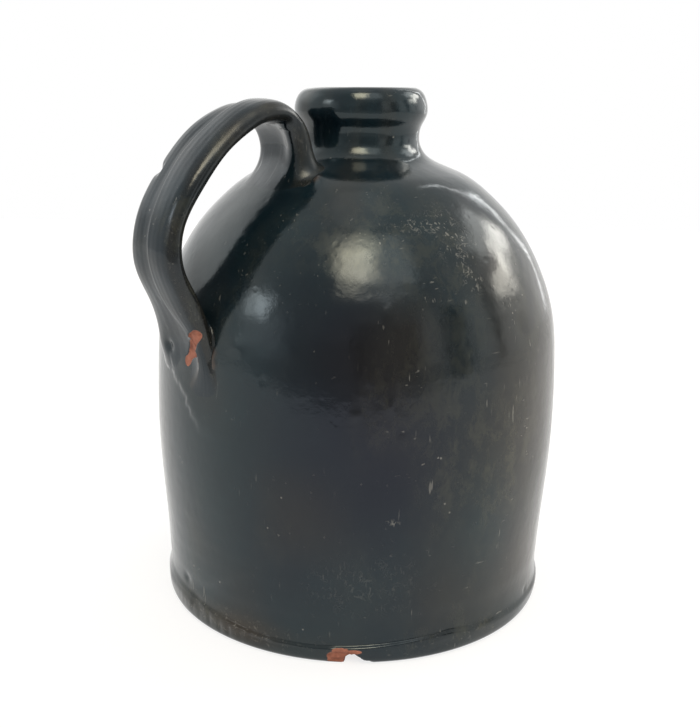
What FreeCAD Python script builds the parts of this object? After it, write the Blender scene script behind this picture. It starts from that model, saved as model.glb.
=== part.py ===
import FreeCAD, Part
import math
import os

# A wheel-thrown redware jug in one fired piece: a round body with a low foot, a domed
# shoulder, a short neck with a rolled lip, and one pulled strap handle from beside the
# neck to the upper wall. Millimetres. +Z is up, the origin is the middle of the flat
# base, and the handle stands on the -X side, in the plane Y = 0.

# ---- body
jug_height = 193.0        # base to the top of the lip
belly_radius = 77.6       # widest part of the wall
belly_height = 62.5
wall_top_radius = 74.8    # where the wall turns into the shoulder
wall_top_height = 116.8
foot_radius = 75.3        # foot flange, outside
base_radius = 72.5        # flat wire-cut base
foot_height = 6.8         # height of the foot flange
foot_tuck = 1.5           # how far the wall stands in above the flange

# ---- neck, lip and bore
neck_length = 26.0        # shoulder to the top of the lip
neck_radius = 21.8        # waist of the neck
lip_radius = 25.3         # rolled lip, outside
lip_height = 13.0         # lip's roll, measured down from the top
bore_radius = 14.6        # hole through the neck
crown_radius = 18.2       # where the lip's top is highest

# ---- thickness of the clay
wall = 6.5
floor_thickness = 8.0

# ---- strap handle: its middle line
root_clearance = 9.1      # neck's waist to the middle line, at the upper end
root_sink = 8.0           # how deep the upper end is worked into the shoulder
arch_drop = 6.2           # top of the lip to the top of the arch's middle line
knee_out = 13.1           # how far the knee is drawn out past the lower end
knee_height = 136.8
lower_height = 101.6      # lower end, on the wall
lower_sink = 0.9          # middle line inside the wall's face there

# ---- strap handle: its section
strap_width = 28.8        # across the strap at mid length
strap_flare = 34.5        # across its pressed lower end
strap_depth = 5.0         # underside below the middle line
ridge_height = 3.5        # arris above the middle line
ridge_offset = 2.0        # arris from the strap's middle, towards -Y
edge_height = 0.6         # far edge above the middle line

# ---- chip in the foot's edge
chip_radius = 8.0
chip_depth = 2.6
chip_angle = 230.0        # direction of the chip, degrees from +X

V = FreeCAD.Vector


def clamped(count):
    """Knots and multiplicities of a clamped even cubic B-spline with count poles."""
    spans = count - 3
    knots = [i / spans for i in range(spans + 1)]
    mults = [4] + [1] * (spans - 1) + [4]
    return knots, mults


def smooth_curve(points):
    """Cubic B-spline drawn towards (radius, height) points."""
    knots, mults = clamped(len(points))
    curve = Part.BSplineCurve()
    curve.buildFromPolesMultsKnots([V(r, 0, z) for r, z in points], mults, knots, False, 3)
    return curve


def curve_edges(curve, cuts):
    """The curve as several edges, cut at the given shares of its length in knots."""
    edges = []
    for start, end in zip(cuts[:-1], cuts[1:]):
        piece = curve.copy()
        piece.segment(start, end)
        edges.append(piece.toShape())
    return edges


def line(a, b):
    return Part.LineSegment(V(a[0], 0, a[1]), V(b[0], 0, b[1])).toShape()


def revolve(edges):
    face = Part.Face(Part.Wire(edges))
    return face.revolve(V(0, 0, 0), V(0, 0, 1), 360)


def offset_point(points, index, distance):
    """A point moved inwards, square to the line through its two neighbours."""
    r0, z0 = points[index - 1]
    r1, z1 = points[index + 1]
    size = math.hypot(r1 - r0, z1 - z0)
    r, z = points[index]
    return r - distance * (z1 - z0) / size, z + distance * (r1 - r0) / size


# ---- outline of the outside, from the flat base up over the lip into the bore
H = jug_height
neck_base = H - neck_length
dome = neck_base - wall_top_height
spread = wall_top_radius - neck_radius
wall_foot = foot_radius - foot_tuck
mouth = (bore_radius + 0.4, H - 1.6)
outline = [
    (base_radius, 0.0),
    (foot_radius - 1.2, 0.4),
    (foot_radius - 0.4, 0.35 * foot_height),
    (foot_radius - 0.2, 0.75 * foot_height),
    (foot_radius, 1.1 * foot_height),
    (wall_foot, 1.6 * foot_height),
    (wall_foot + 1.2, 0.45 * foot_height + 0.50 * belly_height),
    (belly_radius, belly_height),
    (0.68 * belly_radius + 0.32 * wall_top_radius, 0.37 * belly_height + 0.63 * wall_top_height),
    (wall_top_radius, wall_top_height),
    (neck_radius + 0.777 * spread, wall_top_height + 0.503 * dome),
    (neck_radius + 0.517 * spread, wall_top_height + 0.773 * dome),
    (neck_radius + 0.330 * spread, wall_top_height + 0.926 * dome),
    (neck_radius + 3.6, neck_base),
    (neck_radius + 0.4, neck_base + 5.2),
    (neck_radius - 0.1, neck_base + 7.5),
    (neck_radius, neck_base + 10.2),
    (neck_radius + 0.6, H - lip_height),
    (lip_radius - 0.2, H - 0.72 * lip_height),
    (lip_radius - 1.2, H - 0.26 * lip_height),
    (crown_radius + 3.3, H + 0.3),
    (crown_radius - 0.2, H + 0.5),
    mouth,
]

# ---- outline of the hollow, from the bore down to the floor
inside = [
    mouth,
    (bore_radius, H - 6.0),
    (bore_radius, neck_base + 10.0),
    (bore_radius + 0.4, neck_base + 3.0),
    (bore_radius + 2.6, neck_base - 3.5),
    offset_point(outline, 12, wall),
    offset_point(outline, 11, wall),
    offset_point(outline, 10, wall),
    offset_point(outline, 9, wall),
    offset_point(outline, 8, wall),
    offset_point(outline, 7, wall),
    offset_point(outline, 6, wall),
    (wall_foot - wall, floor_thickness + 7.0),
    (wall_foot - wall - 3.0, floor_thickness + 0.6),
    (wall_foot - wall - 14.0, floor_thickness),
]

# foot, wall, shoulder, neck and lip are separate faces of one smooth curve
outer_curve = smooth_curve(outline)
outer_cuts = [0.0, 0.15, 0.3, 0.45, 0.55, 0.65, 0.8, 0.9, 1.0]
outside = revolve(
    [line((0, 0), outline[0])]
    + curve_edges(outer_curve, outer_cuts)
    + [line(mouth, (0, mouth[1])), line((0, mouth[1]), (0, 0))]
)
above = H + 5.0
inner_cuts = [0.0, 0.25, 0.5, 0.75, 1.0]
hollow = revolve(
    [line((0, above), (mouth[0], above)), line((mouth[0], above), mouth)]
    + curve_edges(smooth_curve(inside), inner_cuts)
    + [line(inside[-1], (0, floor_thickness)), line((0, floor_thickness), (0, above))]
)


def on_outside(test):
    """Point of the outside where test(radius, height) first turns true, going up."""
    low = 0.0
    high = 1.0
    steps = 400
    for step in range(steps + 1):
        p = outer_curve.value(step / steps)
        if test(p.x, p.z):
            high = step / steps
            low = max(high - 1.0 / steps, 0.0)
            break
    for _ in range(30):
        mid = 0.5 * (low + high)
        p = outer_curve.value(mid)
        if test(p.x, p.z):
            high = mid
        else:
            low = mid
    p = outer_curve.value(high)
    return p.x, p.z


# ---- strap handle: one row of points across it for each station along its middle line
root_reach = neck_radius + root_clearance
root_height = on_outside(lambda r, z: z > lower_height and r < root_reach)[1]
arch_height = H - arch_drop
lower_reach = on_outside(lambda r, z: z > lower_height)[0] - lower_sink
knee_reach = lower_reach + knee_out
half = 0.5 * strap_width
flare = 0.5 * strap_flare
ridge = ridge_height
under = strap_depth
# reach, height, far half width, near half width, arris offset, arris height, depth
stations = [
    (root_reach, root_height - root_sink, half, half, 0.0, ridge - 0.3, under),
    (root_reach + 0.3, root_height + 9.2, half, half - 0.5, 0.5, ridge - 0.3, under),
    (root_reach + 5.6, arch_height - 3.2, half + 0.6, half - 0.5, 1.5, ridge - 0.3, under),
    (root_reach + 14.8, arch_height, half + 0.5, half + 0.2, ridge_offset, ridge - 0.1, under),
    (root_reach + 25.5, arch_height - 3.2, half + 0.3, half + 0.5, ridge_offset + 1.0, ridge, under),
    (knee_reach - 17.5, arch_height - 14.0, half - 0.4, half + 0.3, ridge_offset - 2.2, ridge, under),
    (knee_reach - 3.5, knee_height + 17.3, half - 0.7, half + 0.2, ridge_offset + 0.6, ridge, under),
    (knee_reach, knee_height, half, half, ridge_offset + 0.8, ridge, under),
    (lower_reach + 5.0, lower_height + 20.2, flare + 1.2, half - 0.2, ridge_offset - 1.5, ridge, under),
    (lower_reach, lower_height + 7.7, flare + 1.2, flare - 1.5, flare - 4.5, 0.74 * ridge, under - 0.5),
    (lower_reach - 0.9, lower_height - 3.5, flare + 0.5, flare - 1.0, flare - 5.0, 0.57 * ridge, under - 1.0),
    (lower_reach - 5.5, lower_height - 15.0, flare - 2.0, flare - 4.0, 2.0, 0.46 * ridge, under - 1.0),
]


def near_half(far, near, arris, top, depth):
    """Section points (across, out) from the arris over the near edge to the underside."""
    span = near - arris
    return [
        (arris, top),
        (arris + 0.33 * span, top - 0.1),
        (arris + 0.72 * span, 0.75 * top),
        (near - 0.2, 0.35 * top),
        (near + 0.7, -0.35 * depth),
        (near - 0.9, -0.98 * depth),
        (0.5 * near, -1.02 * depth),
        (0.0, -depth),
    ]


def far_half(far, near, arris, top, depth):
    """Section points (across, out) from the underside over the far edge to the arris."""
    span = far + arris
    return [
        (0.0, -depth),
        (-0.5 * far, -0.98 * depth),
        (-far + 1.2, -0.98 * depth),
        (-far - 0.7, -0.35 * depth),
        (-far + 0.2, edge_height + 0.5),
        (-far + 0.28 * span, edge_height + 0.1),
        (-far + 0.68 * span, 0.55 * top),
        (arris, top),
    ]


def outward(index):
    """Outward direction (reach, height), square to the middle line at a station."""
    a = stations[max(index - 1, 0)]
    b = stations[min(index + 1, len(stations) - 1)]
    dr = b[0] - a[0]
    dz = b[1] - a[1]
    size = math.hypot(dr, dz)
    return -dz / size, dr / size


def strap_face(half_section):
    rows = []
    for index, station in enumerate(stations):
        nr, nz = outward(index)
        row = []
        for across, out in half_section(*station[2:]):
            row.append(V(-(station[0] + out * nr), -across, station[1] + out * nz))
        rows.append(row)
    uknots, umults = clamped(len(rows))
    vknots, vmults = clamped(len(rows[0]))
    surface = Part.BSplineSurface()
    surface.buildFromPolesMultsKnots(rows, umults, vmults, uknots, vknots, False, False, 3, 3)
    return surface


def strap_solid():
    near = strap_face(near_half)
    far = strap_face(far_half)
    faces = [near.toShape(), far.toShape()]
    for end in (0.0, 1.0):
        edges = [near.uIso(end).toShape(), far.uIso(end).toShape()]
        faces.append(Part.Face(Part.Wire(edges)))
    shell = Part.makeShell(faces)
    shell.sewShape()
    solid = Part.Solid(shell)
    if solid.Volume < 0:
        solid.reverse()
    return solid


strap = strap_solid()
jug = outside.fuse(strap)
jug = jug.cut(hollow)

# ---- chip in the foot's edge
turn = math.radians(chip_angle)
chip_reach = foot_radius + chip_radius - chip_depth
chip = Part.makeSphere(chip_radius, V(chip_reach * math.cos(turn), chip_reach * math.sin(turn), 0.6))
jug = jug.cut(chip)

if jug.ShapeType != "Solid" and len(jug.Solids) == 1:
    jug = jug.Solids[0]

os.makedirs("parts", exist_ok=True)
jug.exportStep("parts/jug.step")
box = jug.BoundBox
print("strap valid", strap.isValid(), "volume", round(strap.Volume, 1))
print("valid", jug.isValid(), "solids", len(jug.Solids), "volume", round(jug.Volume, 1))
print("box", round(box.XMin, 2), round(box.XMax, 2), round(box.YMin, 2), round(box.YMax, 2),
      round(box.ZMin, 2), round(box.ZMax, 2))
print("root", round(root_reach, 2), round(root_height, 2), "lower", round(lower_reach, 2))
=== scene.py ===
import bpy
import numpy as np
from mathutils import Matrix, Vector


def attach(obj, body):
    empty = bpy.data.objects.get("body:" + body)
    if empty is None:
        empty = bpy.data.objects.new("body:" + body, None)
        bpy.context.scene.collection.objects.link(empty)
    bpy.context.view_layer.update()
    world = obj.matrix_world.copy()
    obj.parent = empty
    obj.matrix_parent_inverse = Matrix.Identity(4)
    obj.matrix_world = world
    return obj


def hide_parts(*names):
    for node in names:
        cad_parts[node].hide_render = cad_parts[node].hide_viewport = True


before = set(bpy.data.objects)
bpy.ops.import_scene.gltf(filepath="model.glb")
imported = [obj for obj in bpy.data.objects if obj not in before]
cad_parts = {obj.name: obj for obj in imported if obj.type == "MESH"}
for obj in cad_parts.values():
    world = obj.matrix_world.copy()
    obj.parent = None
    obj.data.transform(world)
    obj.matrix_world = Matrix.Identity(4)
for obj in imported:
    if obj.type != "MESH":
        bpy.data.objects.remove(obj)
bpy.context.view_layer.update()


# ---------------------------------------------------------------- viewpoint
# A hand-held camera a forearm's length from the jug, level with its lip and
# looking down at the belly, with the handle standing to the near left.
VIEW_TURN = np.radians(51.5)
TO_JUG = Vector((np.cos(VIEW_TURN), np.sin(VIEW_TURN), 0.0))
TO_RIGHT = Vector((TO_JUG.y, -TO_JUG.x, 0.0))
CAMERA_REACH = 0.3807
CAMERA_HEIGHT = 0.1912
CAMERA_DIP = np.radians(15.22)
CAMERA_ROLL = np.radians(1.06)
LENS_LENGTH = 49.4357
LENS_WIDTH = 36.0
LENS_SHIFT = -0.0089
NEAREST = 0.01

lens = bpy.data.cameras.new("view")
lens.sensor_width = LENS_WIDTH
lens.lens = LENS_LENGTH
lens.shift_x = LENS_SHIFT
lens.clip_start = NEAREST
camera = bpy.data.objects.new("view", lens)
bpy.context.scene.collection.objects.link(camera)
look = TO_JUG * np.cos(CAMERA_DIP) + Vector((0, 0, -np.sin(CAMERA_DIP)))
side = TO_RIGHT.copy()
top = side.cross(look)
turned_side = side * np.cos(CAMERA_ROLL) + top * np.sin(CAMERA_ROLL)
turned_top = top * np.cos(CAMERA_ROLL) - side * np.sin(CAMERA_ROLL)
pose = Matrix((turned_side, turned_top, -look)).transposed().to_4x4()
pose.translation = -TO_JUG * CAMERA_REACH + Vector((0, 0, CAMERA_HEIGHT))
camera.matrix_world = pose
bpy.context.scene.camera = camera
bpy.context.scene.view_settings.view_transform = "Standard"


# ---------------------------------------------------------------- table and light
# A white table in a pale room: the glaze mirrors the table below, the dimmer side
# of the room above its front edge, a ceiling panel, two windows and a door gap.
TABLE_FRONT = 0.50
TABLE_BACK = 1.10
TABLE_SIDE = 1.00
TABLE_GLOW = 0.76
WHITE = (1.0, 1.0, 1.0, 1.0)
SHADOW_GREY = (0.25, 0.25, 0.25, 1.0)
TABLE_PALE = (0.8, 0.8, 0.79, 1.0)
ROOM_LIGHT = (1.0, 1.0, 0.99, 1.0)
ROOM_UNEVEN = 0.22
ROOM_DARKEST = 0.2
FILL_SIZE = 0.9
FILL_POWER = 1.2
FILL_PLACE = (0.1, 0.1, 1.5)


def link(tree, source, target):
    """Runs one node's output into another node's input."""
    tree.links.new(source, target)


corners = [-TO_JUG * TABLE_FRONT - TO_RIGHT * TABLE_SIDE, -TO_JUG * TABLE_FRONT + TO_RIGHT * TABLE_SIDE,
           TO_JUG * TABLE_BACK + TO_RIGHT * TABLE_SIDE, TO_JUG * TABLE_BACK - TO_RIGHT * TABLE_SIDE]
board = bpy.data.meshes.new("table_top")
board.from_pydata([tuple(corner) for corner in corners], [], [(0, 1, 2, 3)])
table = bpy.data.objects.new("table_top", board)
bpy.context.scene.collection.objects.link(table)
paint = bpy.data.materials.new("white_table")
paint.use_nodes = True
nodes = paint.node_tree.nodes
nodes.clear()
out = nodes.new("ShaderNodeOutputMaterial")
path = nodes.new("ShaderNodeLightPath")
seen = nodes.new("ShaderNodeMath")
seen.operation = "MAXIMUM"
lit = nodes.new("ShaderNodeBsdfDiffuse")
lit.inputs["Color"].default_value = SHADOW_GREY
glow = nodes.new("ShaderNodeEmission")
glow.inputs["Color"].default_value = WHITE
glow.inputs["Strength"].default_value = TABLE_GLOW
both = nodes.new("ShaderNodeAddShader")
matte = nodes.new("ShaderNodeBsdfDiffuse")
matte.inputs["Color"].default_value = TABLE_PALE
pick = nodes.new("ShaderNodeMixShader")
# where it is seen, straight or mirrored, the table is white with a soft shadow
for source, target in ((path.outputs["Is Camera Ray"], seen.inputs[0]),
                       (path.outputs["Is Glossy Ray"], seen.inputs[1]),
                       (lit.outputs[0], both.inputs[0]), (glow.outputs[0], both.inputs[1]),
                       (seen.outputs[0], pick.inputs[0]), (matte.outputs[0], pick.inputs[1]),
                       (both.outputs[0], pick.inputs[2]), (pick.outputs[0], out.inputs[0])):
    link(paint.node_tree, source, target)
table.data.materials.append(paint)

room = bpy.data.worlds.new("pale_room")
bpy.context.scene.world = room
room.use_nodes = True
tree = room.node_tree
nodes = tree.nodes
nodes.clear()
out = nodes.new("ShaderNodeOutputWorld")
path = nodes.new("ShaderNodeLightPath")
where = nodes.new("ShaderNodeTexCoord")


def facing(direction, source):
    """How far the way looked along, source, points along direction: their dot
    product, -1 to 1."""
    dot = nodes.new("ShaderNodeVectorMath")
    dot.operation = "DOT_PRODUCT"
    dot.inputs[1].default_value = direction
    link(tree, source, dot.inputs[0])
    return dot.outputs["Value"]


def ramp(tree, value, low, high, start=0.0, end=1.0):
    """A value carried smoothly from start to end between low and high."""
    step = tree.nodes.new("ShaderNodeMapRange")
    step.interpolation_type = "SMOOTHSTEP"
    for name, number in (("From Min", low), ("From Max", high), ("To Min", start), ("To Max", end)):
        step.inputs[name].default_value = number
    link(tree, value, step.inputs["Value"])
    return step.outputs["Result"]


def arith(tree, kind, first, second, clamp=False):
    """One step of arithmetic on two values, either of which may be a plain number,
    kept between 0 and 1 where clamp is set."""
    step = tree.nodes.new("ShaderNodeMath")
    step.operation = kind
    step.use_clamp = clamp
    for socket, value in zip(step.inputs, (first, second)):
        if isinstance(value, float):
            socket.default_value = value
        else:
            link(tree, value, socket)
    return step.outputs[0]


# the old glaze mirrors the room a little out of true, so the way looked along is bent
uneven = nodes.new("ShaderNodeTexNoise")
uneven.inputs["Scale"].default_value = 6.0
uneven.inputs["Detail"].default_value = 5.0
link(tree, where.outputs["Generated"], uneven.inputs["Vector"])
shift = nodes.new("ShaderNodeVectorMath")
shift.operation = "MULTIPLY_ADD"
shift.inputs[1].default_value = (ROOM_UNEVEN, ROOM_UNEVEN, ROOM_UNEVEN)
shift.inputs[2].default_value = (-ROOM_UNEVEN / 2.0, -ROOM_UNEVEN / 2.0, -ROOM_UNEVEN / 2.0)
link(tree, uneven.outputs["Color"], shift.inputs[0])
bent = nodes.new("ShaderNodeVectorMath")
bent.operation = "ADD"
link(tree, where.outputs["Generated"], bent.inputs[0])
link(tree, shift.outputs[0], bent.inputs[1])
bent_way = bent.outputs[0]


def patch(bearing, rise, wide, tall, soft):
    """A soft-edged rectangle of the room, 1 inside and 0 outside: the product of a
    ramp across, a ramp up and one that shuts out the far side of the room. Bearing
    0 is beyond the jug and 90 to the right; wide and tall are half sizes; degrees."""
    flat = TO_JUG * np.cos(np.radians(bearing)) + TO_RIGHT * np.sin(np.radians(bearing))
    right = TO_RIGHT * np.cos(np.radians(bearing)) - TO_JUG * np.sin(np.radians(bearing))
    up = Vector((0.0, 0.0, 1.0))
    aim = flat * np.cos(np.radians(rise)) + up * np.sin(np.radians(rise))
    over = up * np.cos(np.radians(rise)) - flat * np.sin(np.radians(rise))
    blur = np.sin(np.radians(soft))
    inside = ramp(tree, facing(tuple(aim), bent_way), 0.0, 0.3)
    for direction, half in ((right, wide), (over, tall)):
        apart = arith(tree, "ABSOLUTE", facing(tuple(direction), bent_way), 0.0)
        edge = np.sin(np.radians(half))
        inside = arith(tree, "MULTIPLY", inside, ramp(tree, apart, edge - blur, edge + blur, 1.0, 0.0))
    return inside


toward = facing(tuple(-TO_JUG), where.outputs["Generated"])
up_way = facing((0.0, 0.0, 1.0), where.outputs["Generated"])
# the room grows dim behind the viewer, bright beyond the jug and dimmer towards the
# ceiling, but for a pale spot right overhead
level = ramp(tree, toward, 0.10, 0.80, 0.90, 0.52)
for source, low, high, start, end in ((toward, -0.95, -0.45, 1.25, 1.0), (up_way, 0.45, 0.85, 1.0, 0.82),
                                      (up_way, 0.965, 0.985, 1.0, 1.45)):
    level = arith(tree, "MULTIPLY", level, ramp(tree, source, low, high, start, end))
# its lighter and darker strips: bearing, rise, half width, half height, softness, change
for bearing, rise, wide, tall, soft, change in (
        (163.0, 10.0, 18.0, 17.0, 4.0, -0.20),
        (-165.0, 4.0, 22.0, 12.0, 5.0, -0.10),
        (137.0, 12.0, 6.5, 13.0, 2.0, 0.30),
        (121.0, 8.0, 6.0, 18.0, 1.5, -0.62),
        (106.0, 12.0, 6.0, 14.0, 2.0, 0.20),
        (93.0, 10.0, 2.5, 17.0, 1.2, -0.55),
        (71.0, 3.0, 1.8, 5.0, 1.0, -0.60),
        (158.0, 52.0, 15.0, 13.0, 5.0, 1.30),
        (172.0, 69.0, 16.0, 2.0, 1.5, 0.80),
        (62.0, 8.0, 24.0, 12.0, 8.0, 0.50),
        (64.0, 37.0, 13.0, 5.0, 5.0, 2.4),
        (-60.0, 30.0, 20.0, 13.0, 8.0, 0.62)):
    strip = arith(tree, "MULTIPLY", patch(bearing, rise, wide, tall, soft), change)
    level = arith(tree, "ADD", level, strip)
room_light = nodes.new("ShaderNodeBackground")
room_light.inputs["Color"].default_value = ROOM_LIGHT
link(tree, arith(tree, "MAXIMUM", level, ROOM_DARKEST), room_light.inputs["Strength"])
total = room_light.outputs[0]
# the bright things in it: a ceiling panel, the right window in two leaves, the left
# window with its glow on the wall, and the gap of a door
for bearing, rise, wide, tall, soft, bright, tint in (
        (182.0, 56.0, 9.0, 12.5, 4.0, 9.3, (1.0, 0.85, 0.62, 1.0)),
        (58.0, 26.0, 9.5, 6.0, 3.0, 7.5, (1.0, 0.95, 0.89, 1.0)),
        (74.0, 20.0, 9.0, 4.5, 3.0, 6.0, (1.0, 0.93, 0.84, 1.0)),
        (-118.0, 25.0, 5.5, 5.0, 4.5, 4.8, (0.97, 0.98, 1.0, 1.0)),
        (-125.0, 14.0, 12.0, 12.0, 8.0, 0.6, (0.95, 0.98, 1.0, 1.0)),
        (35.0, 22.0, 0.8, 30.0, 0.4, 5.0, (1.0, 1.0, 1.0, 1.0))):
    lamp = nodes.new("ShaderNodeBackground")
    lamp.inputs["Color"].default_value = tint
    strength = arith(tree, "MULTIPLY", patch(bearing, rise, wide, tall, soft), bright)
    link(tree, strength, lamp.inputs["Strength"])
    more = nodes.new("ShaderNodeAddShader")
    link(tree, total, more.inputs[0])
    link(tree, lamp.outputs[0], more.inputs[1])
    total = more.outputs[0]
white = nodes.new("ShaderNodeBackground")
white.inputs["Color"].default_value = WHITE
white.inputs["Strength"].default_value = 1.0
seen = nodes.new("ShaderNodeMixShader")
link(tree, path.outputs["Is Camera Ray"], seen.inputs[0])
link(tree, total, seen.inputs[1])
link(tree, white.outputs[0], seen.inputs[2])
link(tree, seen.outputs[0], out.inputs[0])

fill = bpy.data.lights.new("ceiling_fill", "AREA")
fill.shape = "DISK"
fill.size = FILL_SIZE
fill.energy = FILL_POWER
softbox = bpy.data.objects.new("ceiling_fill", fill)
bpy.context.scene.collection.objects.link(softbox)
softbox.location = FILL_PLACE
softbox.visible_glossy = False


# ---------------------------------------------------------------- jug_outside
# The thrown wall of the jug, from the middle of its base up over the lip to the
# edge of the mouth: pulled up on a wheel, its foot flanged and its shoulder drawn
# in, then dipped in dark glaze. The foot has lost a flake and has a notch.
MM = 0.001
HEIGHT = 193.0
BELLY_RADIUS = 77.6
BELLY_HEIGHT = 62.5
WALL_TOP_RADIUS = 74.8
WALL_TOP_HEIGHT = 116.8
FOOT_RADIUS = 75.3
FOOT_HEIGHT = 6.8
BASE_RADIUS = 72.5
NECK_LENGTH = 26.0
NECK_RADIUS = 21.8
LIP_RADIUS = 25.3
LIP_HEIGHT = 13.0
BORE_RADIUS = 14.6
CROWN_RADIUS = 18.2
CHIP_RADIUS = 9.5
CHIP_DEPTH = 2.3
CHIP_TURN = np.radians(228.5)
CHIP_LEVEL = 0.9
NOTCH_RADIUS = 3.8
NOTCH_TURN = np.radians(232.0)
NOTCH_LEVEL = -0.2
NOTCH_DEEP = 2.8
NOTCH_TALL = 1.25
SLOPE_RADIUS = 8.0
SLOPE_TURN = NOTCH_TURN + np.radians(2.6)
SLOPE_LEVEL = -6.2
SLOPE_DEEP = 1.6
BITE_REACH = FOOT_RADIUS + 1.2
WALL_ARM = 75.0
STRAP_ARM = 80.0
# the top of the foot's flange round the jug: turns in degrees, heights and how soft, in mm
FLANGE_TURNS = (60.0, 120.0, 155.0, 176.0, 191.0, 206.0, 219.0, 232.0,
                242.0, 251.0, 259.0, 265.0, 283.0, 300.0, 320.0)
FLANGE_TOPS = (6.5, 8.0, 9.5, 9.0, 7.8, 5.8, 5.4, 6.3, 7.2, 8.0, 8.5, 7.0, 5.3, 5.0, 5.5)
FLANGE_SOFT = (3.0, 2.2, 3.4, 1.8, 1.6, 1.3, 1.1, 1.1, 1.1, 1.1, 1.2, 2.6, 3.2, 2.8, 3.4)
OUTSIDE_COLUMNS = 400
OUTSIDE_ROWS = 236
BASE_ROWS = 12
BASE_RISE = 0.35
LUMPS = 0.14
FINE_LUMPS = 0.030
RINGS = 0.020
RING_PITCH = 5.984
FLANGE_REACH = 73.95
RAGGED = 0.35
WAVY_FOOT = 0.16
MOUTH_SAG = 0.30
LIP_WEAR = 0.9
neck_base = HEIGHT - NECK_LENGTH
dome = neck_base - WALL_TOP_HEIGHT
spread = WALL_TOP_RADIUS - NECK_RADIUS
wall_foot = FOOT_RADIUS - 1.5
outline = np.array([
    (BASE_RADIUS, 0.0),
    (FOOT_RADIUS - 1.2, 0.4),
    (FOOT_RADIUS - 0.4, 0.35 * FOOT_HEIGHT),
    (FOOT_RADIUS - 0.2, 0.75 * FOOT_HEIGHT),
    (FOOT_RADIUS, 1.1 * FOOT_HEIGHT),
    (wall_foot, 1.6 * FOOT_HEIGHT),
    (wall_foot + 1.2, 0.45 * FOOT_HEIGHT + 0.50 * BELLY_HEIGHT),
    (BELLY_RADIUS, BELLY_HEIGHT),
    (0.68 * BELLY_RADIUS + 0.32 * WALL_TOP_RADIUS, 0.37 * BELLY_HEIGHT + 0.63 * WALL_TOP_HEIGHT),
    (WALL_TOP_RADIUS, WALL_TOP_HEIGHT),
    (NECK_RADIUS + 0.777 * spread, WALL_TOP_HEIGHT + 0.503 * dome),
    (NECK_RADIUS + 0.517 * spread, WALL_TOP_HEIGHT + 0.773 * dome),
    (NECK_RADIUS + 0.330 * spread, WALL_TOP_HEIGHT + 0.926 * dome),
    (NECK_RADIUS + 3.6, neck_base),
    (NECK_RADIUS + 0.4, neck_base + 5.2),
    (NECK_RADIUS - 0.1, neck_base + 7.5),
    (NECK_RADIUS, neck_base + 10.2),
    (NECK_RADIUS + 0.6, HEIGHT - LIP_HEIGHT),
    (LIP_RADIUS - 0.2, HEIGHT - 0.72 * LIP_HEIGHT),
    (LIP_RADIUS - 1.2, HEIGHT - 0.26 * LIP_HEIGHT),
    (CROWN_RADIUS + 3.3, HEIGHT + 0.3),
    (CROWN_RADIUS - 0.2, HEIGHT + 0.5),
    (BORE_RADIUS + 0.4, HEIGHT - 1.6),
])


def pull(at, count):
    """Clamped cubic spline weights: row i says how strongly each of count poles
    pulls the curve at the fraction at[i]; built up from steps by Cox-de Boor."""
    knots = np.concatenate([np.zeros(3), np.linspace(0.0, 1.0, count - 2), np.ones(3)])
    at = np.clip(at, 0.0, 1.0 - 1e-12)[:, None]
    weights = ((at >= knots[:-1]) & (at < knots[1:])).astype(float)
    for degree in (1, 2, 3):
        rise = knots[degree:-1] - knots[:-degree - 1]
        fall = knots[degree + 1:] - knots[1:-degree]
        left = (at - knots[:-degree - 1]) / np.where(rise > 0, rise, 1.0) * (rise > 0)
        right = (knots[degree + 1:] - at) / np.where(fall > 0, fall, 1.0) * (fall > 0)
        weights = left * weights[:, :-1] + right * weights[:, 1:]
    return weights


def even(points, count, crowd=1.0):
    """Fractions along a finely sampled curve that cut its length into equal steps;
    where crowd is larger than 1 the steps are that much shorter."""
    length = np.concatenate([[0.0], np.cumsum(np.hypot(*np.diff(points, axis=0).T) * crowd)])
    return np.interp(np.linspace(0.0, length[-1], count), length, np.linspace(0.0, 1.0, len(points)))


def turned(at):
    """Radius, height and outward normal of the outline at those fractions; the
    normal is the run from just before to just after, turned by a right angle."""
    at = np.asarray(at, float)
    step = 1e-4
    here = pull(at.ravel(), len(outline)) @ outline
    ahead = pull(np.minimum(at.ravel() + step, 1.0), len(outline)) @ outline
    back = pull(np.maximum(at.ravel() - step, 0.0), len(outline)) @ outline
    run = ahead - back
    run = run / np.hypot(run[:, 0], run[:, 1])[:, None]
    return here[:, 0], here[:, 1], run[:, 1], -run[:, 0]


def gap(turn, centre):
    """Angle from centre to turn, wrapped to -pi..pi."""
    return (turn - centre + np.pi) % (2.0 * np.pi) - np.pi


def dab(turn, height, centre, level, wide, tall, lean=0.0, arm=WALL_ARM):
    """A soft spot of 1 in its middle, falling off as a bell: centre in degrees and
    level in mm, wide and tall in mm, leaning by lean degrees; arm is how far from
    the middle of the jug the wall stands there, in mm."""
    across = gap(turn, np.radians(centre)) * arm
    along = height - level
    c, s = np.cos(np.radians(lean)), np.sin(np.radians(lean))
    return np.exp(-((across * c + along * s) / wide) ** 2 - ((along * c - across * s) / tall) ** 2)


def wobble(turn, height, seed, count, low, high, tall):
    """A sum of count gentle waves round and up the wall, each with its own start and
    size, scaled to about -1 to 1; each goes low to high whole times round, so that
    the wall closes, and up at most once in 2 pi tall mm."""
    made = np.random.default_rng(seed)
    total = np.zeros(np.broadcast(turn, height).shape)
    waves = zip(made.integers(low, high + 1, count), made.uniform(-1.0, 1.0, count),
                made.uniform(0.0, 2.0 * np.pi, count), made.uniform(0.4, 1.0, count))
    for times, up, start, size in waves:
        total = total + size * np.sin(times * turn + up * height / tall + start)
    return total / (1.12 * count ** 0.5)


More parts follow.
